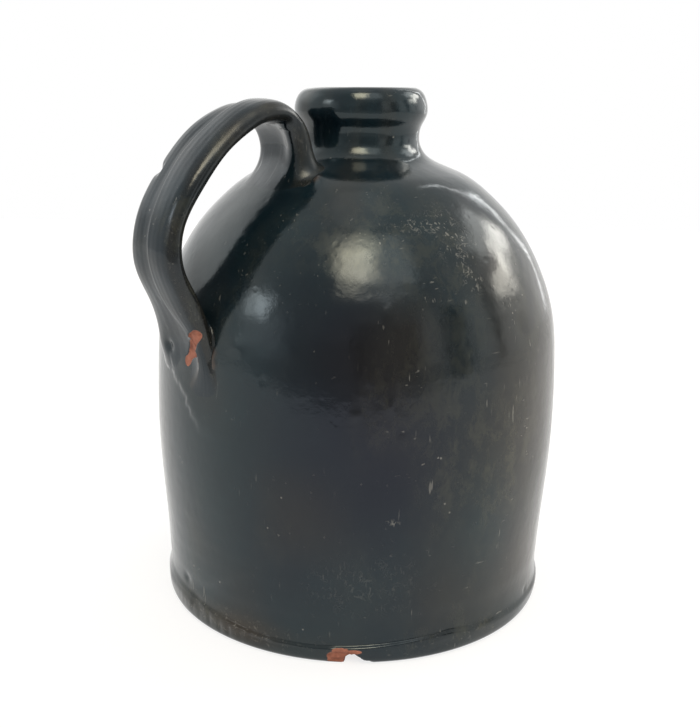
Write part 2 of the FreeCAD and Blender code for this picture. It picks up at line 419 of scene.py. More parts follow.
def smear(turn, height):
    """Clay dragged down the wall below the handle: 1 to the right of a ragged edge
    that leans with height, fading out over 20 mm round and at top and bottom."""
    edge = np.interp(height, (79.0, 81.0, 86.0, 89.0, 93.0, 97.0, 103.0),
                     (186.5, 184.7, 181.5, 180.5, 175.0, 171.5, 170.0))
    beyond = gap(turn, np.radians(edge)) * WALL_ARM
    beyond = beyond + 0.5 * np.sin(height * 1.7) + 0.3 * np.sin(height * 3.9)
    rise = np.clip(beyond / 0.9, 0.0, 1.0) * np.clip((height - 76.0) / 8.0, 0.0, 1.0)
    return rise * np.clip((24.0 - beyond) / 20.0, 0.0, 1.0) ** 2 * (height < 106.0)


def drip(turn, height):
    """A short run of rusty glaze beside the handle's end, 2 mm wide and 8 tall: a
    bell across and a flat-topped bell along."""
    across = gap(turn, np.radians(192.2)) * WALL_ARM + 0.4 * np.sin(height * 1.4)
    return np.exp(-(across / 1.1) ** 2 - ((height - 103.6) / 4.2) ** 4)


# single dents and bumps: turn in degrees, height, how far out, half width, half height
# and lean in degrees
KNOCKS = (
    (188.0, 17.0, -0.55, 16.0, 2.6, 28.0),
    (174.8, 14.5, -0.50, 2.2, 1.8, 0.0),
    (181.0, 8.0, -0.45, 3.0, 2.0, 0.0),
    (199.3, 110.6, 0.45, 3.6, 2.8, 0.0),
    (258.0, 7.6, 0.25, 4.6, 1.4, 0.0),
    (210.1, 5.2, 0.25, 2.4, 1.3, 0.0),
    (294.0, 9.0, -0.35, 1.2, 1.2, 0.0),
    (242.9, 85.6, -0.16, 1.8, 1.7, 0.0),
    (208.0, 100.4, -0.12, 1.3, 1.3, 0.0),
    (234.7, 102.6, 0.14, 1.3, 1.3, 0.0),
    (231.5, 91.1, 0.14, 1.5, 1.5, 0.0),
    (239.4, 123.8, 0.20, 1.8, 2.6, 0.0),
    (239.6, 93.8, 0.16, 0.9, 2.4, 0.0),
)


def flange(turn, radius, height):
    """How far the wall stands in above the foot's uneven flange, in mm: a smooth
    step in over its top, a ragged edge at the left and slow waves all round."""
    edge = np.clip(height / 3.0, 0.0, 1.0)
    top = np.interp(np.degrees(turn) % 360.0, FLANGE_TURNS, FLANGE_TOPS, period=360.0)
    soft = np.interp(np.degrees(turn) % 360.0, FLANGE_TURNS, FLANGE_SOFT, period=360.0)
    over = np.clip((height - top) / soft, 0.0, 1.0) * np.clip((20.0 - height) / 6.0, 0.0, 1.0)
    step = over ** 2 * (3.0 - 2.0 * over) * np.minimum(FLANGE_REACH - radius, 0.0) * (1.25 - 0.22 * soft)
    left = np.exp(-(gap(turn, np.radians(190.0)) / 0.30) ** 4) * np.exp(-((height - 4.5) / 3.5) ** 4)
    step = step - RAGGED * np.maximum(wobble(turn, height, 33, 14, 60, 150, 3.0), 0.0) * left * edge
    below = np.clip((9.0 - height) / 3.0, 0.0, 1.0) * edge
    return step + WAVY_FOOT * wobble(turn, height, 31, 12, 9, 30, 6.0) * below


def relief(turn, radius, height):
    """How far the glazed wall stands off the plain turned shape, in mm: slow lumps,
    faint throwing rings, an uneven flange at the foot and single dents and bumps."""
    body = np.clip((radius - 24.0) / 12.0, 0.25, 1.0)
    lumps = LUMPS * wobble(turn, height, 3, 9, 1, 5, 28.0) - 0.16
    lumps = lumps + FINE_LUMPS * wobble(turn, height, 8, 16, 5, 23, 6.0)
    drift = 2.6 * np.sin(height / 13.0 + np.sin(turn)) + 0.5 * np.sin(turn)
    rings = RINGS * np.sin(2.0 * np.pi * height / RING_PITCH + drift)
    rings = rings * (0.5 + 0.5 * np.sin(2.0 * turn + height / 23.0))
    rings = rings * np.clip((height - 12.0) / 10.0, 0.0, 1.0)
    rings = rings * np.clip((NECK_RADIUS + 50.0 - radius) / 10.0 + 1.0, 0.3, 1.0)
    groove = np.exp(-((height - 5.0) / 0.7) ** 2) * np.exp(-(gap(turn, np.radians(211.0)) / 0.16) ** 4)
    dents = 0.45 * smear(turn, height) + 0.35 * drip(turn, height) - 0.30 * groove
    for centre, level, out, wide, tall, lean in KNOCKS:
        dents = dents + out * dab(turn, height, centre, level, wide, tall, lean)
    dents = dents * np.clip(height / 3.0, 0.0, 1.0)
    dents = dents + 0.9 * dab(turn, height, 209.7, 162.7, 1.8, 1.8, 0.0, 38.0)
    return body * lumps + rings + dents + flange(turn, radius, height)


def torn(turn, height):
    """Where the lower end of the handle's ridge broke away: 1 inside a leaning strip
    with a ragged edge, 0.5 on its rim and 0 outside, by how far each point lies
    from the strip's middle line."""
    here = np.stack([gap(turn, np.radians(189.6)) * STRAP_ARM, height - 112.6], axis=-1)
    fall = np.array([-10.8, -11.4])
    share = np.clip(here @ fall / (fall @ fall), 0.0, 1.0)
    apart = np.linalg.norm(here - share[..., None] * fall, axis=-1)
    ragged = 0.25 * np.sin(share * 13.0) + 0.15 * np.sin(share * 31.0 + here[..., 0])
    half = 1.8 + 1.0 * np.exp(-((share - 0.45) / 0.22) ** 2)
    return np.clip(0.5 + (half + ragged - apart) / 1.6, 0.0, 1.0)


def knocked(points, ball, reach, turn, level, deep=1.0, tall=1.0):
    """Points inside a ball bitten into the foot's edge are pushed straight out from
    the ball's middle to its skin, which wavers a little as broken clay does; deep
    and tall stretch the ball inward and upward. Also returned is how broken each
    point is, from 0 to 1, with 0.5 at the chip's rim."""
    inward = np.array([np.cos(turn), np.sin(turn), 0.0])
    sideways = np.array([-np.sin(turn), np.cos(turn), 0.0])
    upward = np.array([0.0, 0.0, 1.0])
    middle = reach * inward + level * upward
    axes = np.stack([inward / deep, sideways, upward / tall])
    back = np.stack([inward * deep, sideways, upward * tall])
    off = (points - middle) @ axes.T
    far = np.linalg.norm(off, axis=-1, keepdims=True)
    ripple = 0.20 * np.sin(off[..., 2:3] * 2.1 + off[..., :1] * 1.3) + 0.15 * np.sin(off[..., 1:2] * 3.1)
    skin = ball + ripple - 0.1
    pushed = np.where(far < skin, middle + (off / far * skin) @ back, points)
    pushed[..., 2] = np.maximum(pushed[..., 2], 0.0)
    return pushed, np.clip(0.5 + (skin - far)[..., 0] / 2.0, 0.0, 1.0)


def notched(points):
    """The notch: one tall bite into the foot's edge and a shallow slope beside it."""
    points, broken = knocked(points, NOTCH_RADIUS, BITE_REACH, NOTCH_TURN, NOTCH_LEVEL,
                             NOTCH_DEEP, NOTCH_TALL)
    points, _ = knocked(points, SLOPE_RADIUS, BITE_REACH, SLOPE_TURN, SLOPE_LEVEL, SLOPE_DEEP)
    return points, broken


def wall(turn, at):
    """The glazed outside at those turns and outline fractions, and how broken it is:
    the turned outline, stood off along its normal by the relief and then bitten."""
    radius, height, out, up = (value.reshape(np.shape(at)) for value in turned(at))
    lift = relief(turn, radius, height) * np.clip((height + 0.1) / 4.0, 0.0, 1.0)
    mouth = np.clip((np.asarray(at) - 0.93) / 0.07, 0.0, 1.0)
    lift = lift - MOUTH_SAG * mouth * (0.5 + 0.5 * np.sin(turn * 2.0 + 0.6)) * np.clip(up, 0.0, 1.0)
    far = radius + lift * out
    turn = np.broadcast_to(turn, far.shape)
    points = np.stack([far * np.cos(turn), far * np.sin(turn), np.maximum(height + lift * up, 0.0)], axis=-1)
    points, flaked = knocked(points, CHIP_RADIUS, FOOT_RADIUS + CHIP_RADIUS - CHIP_DEPTH,
                             CHIP_TURN, CHIP_LEVEL)
    points, bitten = notched(points)
    worn = dab(turn, height, 150.0, HEIGHT, 22.0, 5.0, 0.0, 25.0) * (radius < 30.0)
    points[..., 2] = points[..., 2] - LIP_WEAR * worn
    # clay shows in the left of the notch and in a thin lip over it
    left = np.clip((np.radians(232.6) - turn % (2.0 * np.pi)) * 60.0 + 0.5, 0.0, 1.0)
    lipped = 0.9 * dab(turn, height, 232.2, 5.2, 3.6, 1.1)
    return points, np.maximum(np.maximum(flaked, bitten * left), lipped)


def shell(name, grid, first=None, last=None):
    """A mesh object from a grid of points in mm, rows by columns, the columns
    joined round; faces turn outward when rows run up and columns run left. A first
    or last point closes that end with a fan of triangles."""
    rows, columns = grid.shape[:2]
    index = np.arange(rows * columns).reshape(rows, columns)
    beside = np.roll(index, -1, axis=1)
    faces = np.stack([index[:-1], beside[:-1], beside[1:], index[1:]], axis=-1).reshape(-1)
    points = [grid.reshape(-1, 3)]
    totals = [np.full((rows - 1) * columns, 4)]
    for end, ring, back in ((first, 0, True), (last, -1, False)):
        if end is None:
            continue
        hub = np.full(columns, rows * columns + len(points) - 1)
        pair = (beside[ring], index[ring]) if back else (index[ring], beside[ring])
        faces = np.concatenate([faces, np.stack([*pair, hub], axis=-1).reshape(-1)])
        points.append(np.array([end]))
        totals.append(np.full(columns, 3))
    points = np.concatenate(points)
    totals = np.concatenate(totals)
    mesh = bpy.data.meshes.new(name)
    mesh.vertices.add(len(points))
    mesh.vertices.foreach_set("co", (points * MM).astype(np.float32).ravel())
    mesh.loops.add(len(faces))
    mesh.loops.foreach_set("vertex_index", faces.astype(np.int32))
    mesh.polygons.add(len(totals))
    mesh.polygons.foreach_set("loop_start", (np.cumsum(totals) - totals).astype(np.int32))
    mesh.polygons.foreach_set("loop_total", totals.astype(np.int32))
    mesh.update(calc_edges=True)
    mesh.validate()
    mesh.shade_smooth()
    made = bpy.data.objects.new(name, mesh)
    bpy.context.scene.collection.objects.link(made)
    return made


def mark(piece, name, values):
    """A named value at every point of a piece, for its glaze to read; the middles
    of its closed ends repeat the last value."""
    layer = piece.data.attributes.new(name, "FLOAT", "POINT")
    values = np.pad(np.ravel(values), (0, len(layer.data) - np.size(values)), mode="edge")
    layer.data.foreach_set("value", np.clip(values, 0.0, 1.0).astype(np.float32))


fine = pull(np.linspace(0.0, 1.0, 4000), len(outline)) @ outline
low_down = np.exp(-((fine[1:, 1] - 4.0) / 9.0) ** 2)
rows_at = even(fine, OUTSIDE_ROWS, 1.0 + 2.4 * low_down)
spin = np.linspace(0.0, 2.0 * np.pi, OUTSIDE_COLUMNS, endpoint=False)
spin = spin - 0.32 * np.sin(spin - np.radians(207.0))
turn_grid, at_grid = np.meshgrid(spin, rows_at)
skin, chipped = wall(turn_grid, at_grid)
share = np.linspace(0.0, 1.0, BASE_ROWS + 1)[1:, None, None] * 0.97
base = skin[:1] * share
base[..., 2] = BASE_RISE * np.clip((0.93 - share[..., 0]) / 0.1, 0.0, 1.0)
base, _ = notched(base)
whole = np.concatenate([base, skin])
outside = shell("jug_outside", whole, first=(0.0, 0.0, BASE_RISE))
chipped = np.maximum(chipped, torn(turn_grid, skin[..., 2]))
mark(outside, "bare", np.concatenate([np.ones(BASE_ROWS * OUTSIDE_COLUMNS), chipped.ravel(), [1.0]]))


# colours and sheens of the glaze, its marks and the clay under it
DEEP_GLAZE = (0.0034, 0.0090, 0.0136, 1.0)
PALER_GLAZE = (0.0046, 0.0132, 0.0184, 1.0)
PLAIN_GLAZE = (0.0035, 0.0035, 0.0044, 1.0)
THIN_GLAZE = (0.020, 0.014, 0.009, 1.0)
DUST = (0.050, 0.050, 0.042, 1.0)
STAIN = (0.062, 0.060, 0.040, 1.0)
# pale colour of scratches, also used for the specks' painted glints
SCRATCH_AND_GLINT = (0.30, 0.29, 0.26, 1.0)
RUBBED = (0.34, 0.33, 0.30, 1.0)
RUST = (0.085, 0.045, 0.026, 1.0)
DEEP_CLAY = (0.23, 0.082, 0.052, 1.0)
PALE_CLAY = (0.36, 0.140, 0.092, 1.0)
GREEN_SHEEN = (0.86, 0.99, 1.0, 1.0)
BLUE_SHEEN = (0.60, 0.66, 0.86, 1.0)
WARM_SHEEN = (1.0, 0.98, 0.91, 1.0)
GLASS_BEND = 1.5
CLAY_ROUGH = 0.85
PIT_STRENGTH = 0.16
PIT_DEPTH = 0.0006


def clay_and_glaze():
    """Near-black lead glaze over terracotta. Each mark is a noise pattern cut off
    between two levels and multiplied by how much of that mark the point carries;
    the marks are then laid over the glaze one by one, and bare clay comes last."""
    made = bpy.data.materials.new("dark_glaze")
    made.use_nodes = True
    tree = made.node_tree
    nodes = tree.nodes
    shader = nodes["Principled BSDF"]
    shader.inputs["IOR"].default_value = GLASS_BEND
    place = nodes.new("ShaderNodeTexCoord")

    def stretched(scale, turn=(0.0, 0.0, 0.0)):
        """The place on the piece with each axis scaled and the whole turned: a scale
        below 1 draws a pattern out along that axis."""
        step = nodes.new("ShaderNodeMapping")
        step.inputs["Scale"].default_value = scale
        step.inputs["Rotation"].default_value = turn
        link(tree, place.outputs["Object"], step.inputs["Vector"])
        return step.outputs["Vector"]

    def noise(scale, detail, rough, vector=None, warp=0.0):
        """Cloudy noise of scale spots a metre, with detail finer layers of it."""
        step = nodes.new("ShaderNodeTexNoise")
        for name, number in (("Scale", scale), ("Detail", detail), ("Roughness", rough),
                             ("Distortion", warp)):
            step.inputs[name].default_value = number
        link(tree, vector or place.outputs["Object"], step.inputs["Vector"])
        return step.outputs["Fac"]

    def cells(scale):
        """How far a point lies from the nearest of the dots strewn scale a metre."""
        step = nodes.new("ShaderNodeTexVoronoi")
        step.inputs["Scale"].default_value = scale
        link(tree, place.outputs["Object"], step.inputs["Vector"])
        return step.outputs["Distance"]

    def band(value, low, high, start=0.0, end=1.0):
        """A value of this glaze carried smoothly from start to end."""
        return ramp(tree, value, low, high, start, end)

    def combine(kind, first, second):
        """One step of arithmetic of this glaze, kept between 0 and 1."""
        return arith(tree, kind, first, second, clamp=True)

    def blend(share, first, second):
        """Colour first where share is 0 and second where it is 1."""
        step = nodes.new("ShaderNodeMix")
        step.data_type = "RGBA"
        for socket, value in ((step.inputs["A"], first), (step.inputs["B"], second)):
            if isinstance(value, tuple):
                socket.default_value = value
            else:
                link(tree, value, socket)
        link(tree, share, step.inputs["Factor"])
        return step.outputs["Result"]

    def value_of(name):
        """The value of that name that the point carries, or 0 where it has none."""
        step = nodes.new("ShaderNodeAttribute")
        step.attribute_name = name
        return step.outputs["Fac"]

    bare = band(value_of("bare"), 0.44, 0.56)
    warm = value_of("warm")
    haze = value_of("haze")
    # wear in brushed patches, and a stain where it is thickest
    worn = band(noise(60.0, 6.0, 0.7, stretched((1.0, 1.0, 0.55))), 0.34, 0.66)
    worn = combine("MULTIPLY", haze, worn)
    brushed = band(noise(420.0, 3.0, 0.6, stretched((1.0, 1.0, 0.10))), 0.30, 0.70, 0.45, 1.0)
    worn = combine("MULTIPLY", worn, brushed)
    mottled = band(noise(170.0, 6.0, 0.75, stretched((1.0, 1.0, 0.6)), 0.4), 0.44, 0.62)
    mottled = combine("MULTIPLY", combine("SUBTRACT", haze, 0.22), mottled)
    # upright ticks and slanting scores, in groups
    tick = band(noise(900.0, 1.0, 0.5, stretched((1.0, 1.0, 0.13))), 0.69, 0.76)
    tick = combine("MULTIPLY", tick, band(noise(75.0, 2.0, 0.5), 0.50, 0.62))
    score = band(noise(1000.0, 1.0, 0.5, stretched((0.09, 1.0, 1.0), (0.5, 0.35, 0.9))), 0.70, 0.77)
    score = combine("MULTIPLY", score, band(noise(95.0, 2.0, 0.5), 0.53, 0.64))
    scratch = combine("MULTIPLY", combine("MAXIMUM", tick, score), combine("ADD", haze, 0.12))
    # curled scuffs: the line where a warped noise passes its middle value
    curl = noise(260.0, 2.0, 0.5, None, 0.9)
    curl = combine("MAXIMUM", combine("SUBTRACT", curl, 0.5), combine("SUBTRACT", 0.5, curl))
    curl = combine("MULTIPLY", band(curl, 0.006, 0.020, 1.0, 0.0), band(noise(210.0, 2.0, 0.5), 0.50, 0.56))
    flecks = band(noise(900.0, 2.0, 0.5, stretched((1.0, 1.0, 0.4))), 0.62, 0.68)
    curl = combine("MULTIPLY", combine("MAXIMUM", curl, flecks), value_of("scuffed"))
    # pale specks painted in as glints off pits in the glaze, and crumbs of dirt
    glint_specks_and_crumbs = band(cells(330.0), 0.08, 0.17, 1.0, 0.0)
    glint_specks_and_crumbs = combine("MULTIPLY", glint_specks_and_crumbs, band(noise(170.0, 2.0, 0.5), 0.645, 0.70))
    crumb = combine("MULTIPLY", value_of("crumbs"), band(noise(650.0, 4.0, 0.7), 0.58, 0.68))
    glint_specks_and_crumbs = combine("MAXIMUM", glint_specks_and_crumbs, crumb)

    colour = blend(band(noise(38.0, 4.0, 0.6), 0.38, 0.66), DEEP_GLAZE, PALER_GLAZE)
    # the plain share dims the glaze and its sheen; on the handle it also paints shade into the groove beside
    # the ridge
    for share, laid_over in ((value_of("plain"), PLAIN_GLAZE), (warm, THIN_GLAZE),
                             (combine("MULTIPLY", worn, 0.3), DUST),
                             (combine("MULTIPLY", mottled, 0.60), STAIN),
                             # pale scratches, and the specks' painted glints with crumbs of dirt
                             (combine("MULTIPLY", combine("MAXIMUM", scratch, glint_specks_and_crumbs), 0.5), SCRATCH_AND_GLINT),
                             (combine("MULTIPLY", curl, 0.55), RUBBED), (value_of("rust"), RUST)):
        colour = blend(share, colour, laid_over)
    clay = blend(band(noise(420.0, 5.0, 0.6), 0.3, 0.7), DEEP_CLAY, PALE_CLAY)
    link(tree, blend(bare, colour, clay), shader.inputs["Base Color"])
    sheen = blend(warm, blend(value_of("plain"), GREEN_SHEEN, BLUE_SHEEN), WARM_SHEEN)
    link(tree, sheen, shader.inputs["Specular Tint"])
    gloss = band(noise(55.0, 5.0, 0.65), 0.3, 0.75, 0.07, 0.15)
    for mark_on, more in ((worn, 0.25), (scratch, 0.2), (value_of("dull"), 0.34)):
        gloss = combine("ADD", gloss, combine("MULTIPLY", mark_on, more))
    rough = nodes.new("ShaderNodeMix")
    link(tree, bare, rough.inputs["Factor"])
    link(tree, gloss, rough.inputs["A"])
    rough.inputs["B"].default_value = CLAY_ROUGH
    link(tree, rough.outputs["Result"], shader.inputs["Roughness"])
    pits = combine("ADD", combine("MULTIPLY", band(cells(150.0), 0.05, 0.22), 0.5), 0.5)
    bump = nodes.new("ShaderNodeBump")
    bump.inputs["Strength"].default_value = PIT_STRENGTH
    bump.inputs["Distance"].default_value = PIT_DEPTH
    link(tree, combine("MULTIPLY", noise(200.0, 5.0, 0.55), pits), bump.inputs["Height"])
    link(tree, bump.outputs["Normal"], shader.inputs["Normal"])
    return made


glaze = clay_and_glaze()
outside.data.materials.append(glaze)
turn_whole = np.broadcast_to(spin, whole.shape[:2])
height_whole = whole[..., 2]


def spots(start, *places):
    """Start plus a sum of soft spots on the wall, each a strength and what dab takes."""
    total = start
    for strength, *place in places:
        total = total + strength * dab(turn_whole, height_whole, *place)
    return total


warm = spots(0.25 * wobble(turn_whole, height_whole, 21, 16, 2, 14, 9.0),
             (0.85, 294.0, 90.0, 40.0, 60.0), (0.15, 236.0, 112.0, 26.0, 14.0),
             (0.7, 300.0, 22.0, 45.0, 16.0), (0.9, 192.0, 6.5, 28.0, 6.0))
mark(outside, "warm", warm)
plain = spots(0.0, (1.1, 238.0, 82.0, 32.0, 58.0)) * np.clip((150.0 - height_whole) / 30.0, 0.0, 1.0)
mark(outside, "plain", plain + 0.2 * wobble(turn_whole, height_whole, 23, 16, 2, 12, 10.0))
haze = spots(0.12 + 0.25 * wobble(turn_whole, height_whole, 22, 18, 2, 16, 8.0),
             (0.7, 233.0, 143.0, 30.0, 13.0), (0.75, 285.0, 75.0, 52.0, 62.0),
             (0.5, 190.0, 8.0, 34.0, 8.0), (0.35, 264.0, 6.5, 24.0, 4.0), (0.30, 60.0, 80.0, 60.0, 50.0))
mark(outside, "haze", haze)
rusty = 0.5 * drip(turn_whole, height_whole)
mark(outside, "rust", spots(rusty, (0.4, 209.7, 162.7, 1.0, 1.0, 0.0, 38.0)))
crumbs = spots(rusty, (0.7, 195.0, 6.5, 26.0, 5.0), (0.5, 209.7, 162.7, 2.0, 1.6, 0.0, 38.0),
               (0.35, 262.0, 6.0, 24.0, 3.0))
mark(outside, "crumbs", crumbs)
scuffed = spots(-0.12, (0.9, 264.0, 145.0, 7.0, 9.0, 20.0, 58.0), (0.9, 266.0, 132.0, 4.0, 4.0, 0.0, 67.0),
                (0.7, 250.0, 149.5, 9.0, 2.5, 0.0, 56.0), (1.0, 240.8, 53.2, 2.6, 1.3),
                (0.26, 236.0, 30.0, 34.0, 16.0))
mark(outside, "scuffed", scuffed)
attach(outside, "root")
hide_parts("jug")


# ---------------------------------------------------------------- jug_inside
# The hollow, as the potter's fingers left it: a narrow bore through the neck,
# opening under the shoulder into a wide belly with a flat floor.
WALL = 6.5
FLOOR = 8.0
INSIDE_COLUMNS = 160
INSIDE_ROWS = 130
FLOOR_ROWS = 13


def drawn_in(points, i, distance):
    """Pole i of the outline moved inward, square to the line of its neighbours."""
    run = points[i + 1] - points[i - 1]
    run = run / np.hypot(*run)
    return points[i] + distance * np.array([-run[1], run[0]])


inside = [(BORE_RADIUS + 0.4, HEIGHT - 1.6), (BORE_RADIUS, HEIGHT - 6.0), (BORE_RADIUS, neck_base + 10.0),
          (BORE_RADIUS + 0.4, neck_base + 3.0), (BORE_RADIUS + 2.6, neck_base - 3.5)]
inside = inside + [tuple(drawn_in(outline, i, WALL)) for i in (12, 11, 10, 9, 8, 7, 6)]
inside = inside + [(wall_foot - WALL, FLOOR + 7.0), (wall_foot - WALL - 3.0, FLOOR + 0.6),
                   (wall_foot - WALL - 14.0, FLOOR)]
inside = np.array(inside)
fine_inside = pull(np.linspace(0.0, 1.0, 3000), len(inside)) @ inside
line = pull(even(fine_inside, INSIDE_ROWS), len(inside)) @ inside
middle = line[-1:] * np.linspace(1.0, 0.0, FLOOR_ROWS + 1)[1:-1, None]
middle[:, 1] = FLOOR
line = np.concatenate([line, middle])
spin_inside = np.linspace(0.0, 2.0 * np.pi, INSIDE_COLUMNS, endpoint=False)
hollow = np.stack([line[:, :1] * np.cos(spin_inside), line[:, :1] * np.sin(spin_inside),
                   np.repeat(line[:, 1:], INSIDE_COLUMNS, axis=1)], axis=-1)
# the first rows are drawn onto the edge of the mouth, where the glazed wall ends
rim = wall(spin_inside, np.ones(INSIDE_COLUMNS))[0]
settle = np.exp(-np.arange(len(line)) / 3.0)[:, None, None]
hollow = hollow + settle * (rim - hollow[0])
lining = shell("jug_inside", hollow, last=(0.0, 0.0, FLOOR))
lining.data.materials.append(glaze)
mark(lining, "warm", 0.8)
mark(lining, "haze", 0.3)
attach(lining, "root")
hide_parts("jug")


# ---------------------------------------------------------------- jug_handle
# A pulled strap of clay: pressed on where neck meets shoulder, arched up and over,
# and thumbed down on the shoulder. A ridge runs along its back, nearer one edge.
ROOT_REACH = 30.9
ROOT_HEIGHT = 165.67
ROOT_SINK = 8.0
ARCH_HEIGHT = HEIGHT - 6.2
KNEE_HEIGHT = 136.8
LOWER_HEIGHT = 101.6
LOWER_REACH = 75.16
KNEE_REACH = LOWER_REACH + 13.1
HALF = 14.4
FLARE = 17.25
RIDGE = 3.5
RIDGE_OFFSET = 2.0
EDGE = 0.6
UNDER = 5.0
HANDLE_ROWS = 290
HANDLE_HALF = 120
SECTION_POLES = 8
EVEN_AT = 6
FLARE_ROWS = 26
FLARE_PULL = 0.62
PROUD = 0.03
BURIED = 0.45
BURIED_ON = 0.6
THICKER = 2.6
THUMBED = 0.9
THUMB_RIM = 1.1
BROKEN_OFF = 0.7
NICKED = 1.3
# reach, height, far half width, near half width, ridge offset, ridge height, depth
stations = np.array([
    (ROOT_REACH, ROOT_HEIGHT - ROOT_SINK, HALF, HALF, 0.0, RIDGE - 0.3, UNDER),
    (ROOT_REACH + 0.3, ROOT_HEIGHT + 9.2, HALF, HALF - 0.5, 0.5, RIDGE - 0.3, UNDER),
    (ROOT_REACH + 5.6, ARCH_HEIGHT - 3.2, HALF + 0.6, HALF - 0.5, 1.5, RIDGE - 0.3, UNDER),
    (ROOT_REACH + 14.8, ARCH_HEIGHT, HALF + 0.5, HALF + 0.2, RIDGE_OFFSET, RIDGE - 0.1, UNDER),
    (ROOT_REACH + 25.5, ARCH_HEIGHT - 3.2, HALF + 0.3, HALF + 0.5, RIDGE_OFFSET + 1.0, RIDGE, UNDER),
    (KNEE_REACH - 17.5, ARCH_HEIGHT - 14.0, HALF - 0.4, HALF + 0.3, RIDGE_OFFSET - 2.2, RIDGE, UNDER),
    (KNEE_REACH - 3.5, KNEE_HEIGHT + 17.3, HALF - 0.7, HALF + 0.2, RIDGE_OFFSET + 0.6, RIDGE, UNDER),
    (KNEE_REACH, KNEE_HEIGHT, HALF, HALF, RIDGE_OFFSET + 0.8, RIDGE, UNDER),
    (LOWER_REACH + 5.0, LOWER_HEIGHT + 20.2, FLARE + 1.2, HALF - 0.2, RIDGE_OFFSET - 1.5, RIDGE, UNDER),
    (LOWER_REACH, LOWER_HEIGHT + 7.7, FLARE + 1.2, FLARE - 1.5, FLARE - 4.5, 0.74 * RIDGE, UNDER - 0.5),
    (LOWER_REACH - 0.9, LOWER_HEIGHT - 3.5, FLARE + 0.5, FLARE - 1.0, FLARE - 5.0, 0.57 * RIDGE, UNDER - 1.0),
    (LOWER_REACH - 5.5, LOWER_HEIGHT - 15.0, FLARE - 2.0, FLARE - 4.0, 2.0, 0.46 * RIDGE, UNDER - 1.0),
])


def section(far, near, ridge, top, depth):
    """Poles of one cross-section as across and out: over the near side from the
    ridge to the middle of the underside, then back over the far side."""
    span = near - ridge
    over = [(ridge, top), (ridge + 0.33 * span, top - 0.1), (ridge + 0.72 * span, 0.75 * top),
            (near - 0.2, 0.35 * top), (near + 0.7, -0.35 * depth), (near - 0.9, -0.98 * depth),
            (0.5 * near, -1.02 * depth), (0.0, -depth)]
    span = far + ridge
    back = [(0.0, -depth), (-0.5 * far, -0.98 * depth), (-far + 1.2, -0.98 * depth),
            (-far - 0.7, -0.35 * depth), (-far + 0.2, EDGE + 0.5), (-far + 0.34 * span, EDGE + 1.3),
            (ridge - 2.2, EDGE - 0.7), (ridge, top)]
    return [over, back]


poles = np.array([section(*row[2:]) for row in stations])
spine = stations[:, :2]
along = np.concatenate([spine[1:2] - spine[:1], spine[2:] - spine[:-2], spine[-1:] - spine[-2:-1]])
outward = np.stack([-along[:, 1], along[:, 0]], axis=1) / np.hypot(*along.T)[:, None]
off = poles[..., 1:2] * outward[:, None, None]
strap_poles = np.stack([-spine[:, 0, None, None] - off[..., 0], -poles[..., 0],
                        spine[:, 1, None, None] + off[..., 1]], axis=-1)


def halves(i):
    """Evenly spaced fractions over the two halves of the cross-section at station i."""
    rounds = []
    for half in (0, 1):
        curve = pull(np.linspace(0.0, 1.0, 800), SECTION_POLES) @ poles[i, half]
        rounds.append(even(curve, HANDLE_HALF + 1)[:-1])
    return rounds


# the columns run along the strap, spread evenly round it just above the knee; each is
# ruled by its own poles, ribs, and lies at side_at, across and out, in the section there
round_pull = [pull(at, SECTION_POLES) for at in halves(EVEN_AT)]
ribs = np.concatenate([np.einsum("vq,pqc->vpc", round_pull[half], strap_poles[:, half]) for half in (0, 1)])
ribs = ribs[::-1]
side_at = np.concatenate([round_pull[half] @ poles[EVEN_AT, half] for half in (0, 1)])[::-1]
columns = len(ribs)


def strap(at):
    """Points of the strap: column j is itself a spline along the strap with its own
    twelve poles, taken at the fractions at[:, j]."""
    weights = pull(at.ravel(), len(stations)).reshape(at.shape + (len(stations),))
    return np.einsum("sjp,jpc->sjc", weights, ribs)


def outline_at(points):
    """The outline fraction nearest to each point, by radius and height."""
    flat = points.reshape(-1, 3)
    radius = np.hypot(flat[:, 0], flat[:, 1])
    apart = (radius[:, None] - fine[None, ::4, 0]) ** 2 + (flat[:, 2, None] - fine[None, ::4, 1]) ** 2
    return (np.argmin(apart, axis=1) * 4 / (len(fine) - 1)).reshape(points.shape[:-1])


def onto_wall(points, sunk):
    """Points moved onto the jug's glazed wall, sunk mm below its skin, and the
    wall's normals there."""
    turn = np.arctan2(points[..., 1], points[..., 0])
    at = outline_at(points)
    skin = wall(turn, at)[0]
    out, up = (value.reshape(at.shape) for value in turned(at)[2:])
    normal = np.stack([out * np.cos(turn), out * np.sin(turn), up], axis=-1)
    return skin - np.asarray(sunk)[..., None] * normal, normal


def around(values, reach):
    """Values averaged with their neighbours round a closed loop of columns."""
    total = sum(np.roll(values, k, axis=0) for k in range(-reach, reach + 1))
    return total / (2 * reach + 1)


# where each column comes out of the wall near the neck and goes into it lower down
fine_at = np.repeat(np.linspace(0.0, 1.0, 900)[:, None], columns, axis=1)
sample = strap(fine_at)
upper = fine[np.argmax(fine[:, 0]):]
body_radius = np.interp(sample[..., 2], upper[:, 1], upper[:, 0])
stands = np.hypot(sample[..., 0], sample[..., 1]) - body_radius
rises = (stands < 0.0) & (fine_at < 0.3)
root_at = (rises * fine_at).max(axis=0)
falls = (stands < 0.0) & (fine_at > 0.6)
foot_at = np.where(falls, fine_at, 1.0).min(axis=0)
speed = np.linalg.norm(np.diff(sample, axis=0), axis=-1).mean(axis=0) * (len(sample) - 1)


